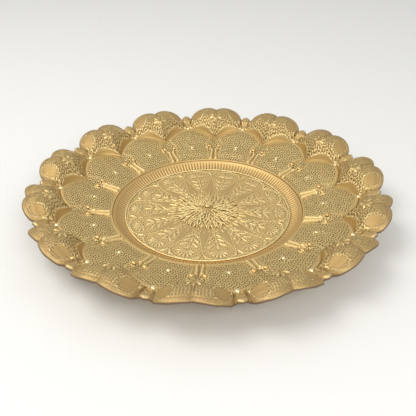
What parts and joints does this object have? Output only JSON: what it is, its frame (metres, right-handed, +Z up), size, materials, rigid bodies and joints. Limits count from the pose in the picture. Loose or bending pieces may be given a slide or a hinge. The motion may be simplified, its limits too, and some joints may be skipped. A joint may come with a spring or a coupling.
{
  "type": "tray",
  "caption": "Round repousse brass tray with a scalloped two-tier petal border, a fluted well wall and a flat star-patterned floor with a central leaf rosette.",
  "frame": {"origin": "centre of the flat flange under the well, on the plane that the tray stands on", "axes": "+Z up, through the middle of the tray; one petal of the outer tier is centred on +Y"},
  "size_m": [0.3466, 0.3488, 0.0393],
  "materials": {
    "border_brass": "aged, stippled and hand polished",
    "wall_brass": "fluted, polished on the ribs",
    "floor_brass": "matted ground with polished star",
    "rosette_brass": "cast, worn bright on the edges",
    "wire_brass": "drawn wire, bright"
  },
  "bodies": {
    "root": {"border_sheet": "border_brass", "edge_wire": "wire_brass", "well_wall": "wall_brass", "floor_disc": "floor_brass", "bead_wire": "wire_brass", "centre_rosette": "rosette_brass", "rosette_rivet": "rosette_brass", "rivet_burr": "wire_brass"}
  },
  "joints": []
}
